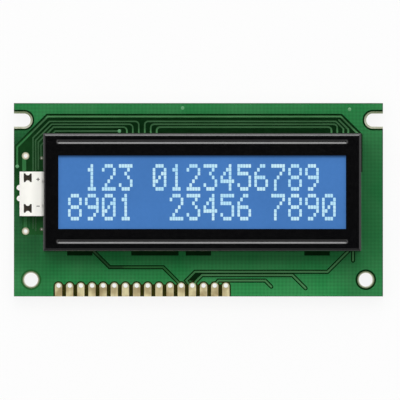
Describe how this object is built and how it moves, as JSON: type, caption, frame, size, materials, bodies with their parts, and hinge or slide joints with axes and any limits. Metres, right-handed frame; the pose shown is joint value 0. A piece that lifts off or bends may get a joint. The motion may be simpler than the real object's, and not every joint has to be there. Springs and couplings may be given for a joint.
{
  "type": "character lcd module",
  "caption": "Flat character display module: green circuit board with edge terminals, black steel bezel round a blue display window, edge backlight tab.",
  "frame": {"origin": "under the middle of the board, on the surface that the module lies on", "axes": "+X to the right along the text rows, +Y up the display, +Z out of the display face"},
  "size_m": [0.084, 0.044, 0.0117],
  "materials": {
    "board_laminate": "solder-masked glass epoxy, satin",
    "masked_copper": "copper under green solder mask, satin",
    "masked_trace": "copper trace under green solder mask, satin",
    "gold_plating": "thin gold over nickel, satin",
    "tin_plating": "tinned, satin",
    "black_painted_steel": "black paint, semi-gloss",
    "polarizer_film": "blue polarizer film, gloss",
    "cell_glass": "float glass",
    "seal_resin": "cured resin",
    "elastomer": "layered silicone",
    "white_moulding": "white moulded plastic, satin",
    "clear_acrylic": "clear acrylic",
    "diffuser": "frosted film",
    "reflector": "silvered film",
    "led_package": "white LED with yellow phosphor",
    "dark_terminal": "darkened terminal metal",
    "black_epoxy": "black epoxy, gloss",
    "resistor_glaze": "black glaze on ceramic",
    "capacitor_ceramic": "tan fired ceramic",
    "solder": "solder, satin"
  },
  "bodies": {
    "root": {"circuit_board": "board_laminate", "front_copper_pour": "masked_copper", "front_traces": "masked_trace", "back_copper_pour": "masked_copper", "back_traces": "masked_trace", "terminal_pads": "gold_plating", "mounting_rims": "gold_plating", "plated_vias": "tin_plating", "tented_vias": "masked_copper", "contact_fingers": "gold_plating", "bezel": "black_painted_steel", "front_polarizer": "polarizer_film", "front_glass": "cell_glass", "cell_seal": "seal_resin", "rear_glass": "cell_glass", "rear_polarizer": "polarizer_film", "upper_elastomer_strip": "elastomer", "lower_elastomer_strip": "elastomer", "backlight_housing": "white_moulding", "light_guide": "clear_acrylic", "diffuser_film": "diffuser", "reflector_film": "reflector", "led_board": "white_moulding", "leds": "led_package", "backlight_terminals": "dark_terminal", "controller_blob": "black_epoxy", "driver_blob": "black_epoxy", "chip_resistors": "resistor_glaze", "chip_capacitors": "capacitor_ceramic", "solder_joints": "solder"}
  },
  "joints": []
}
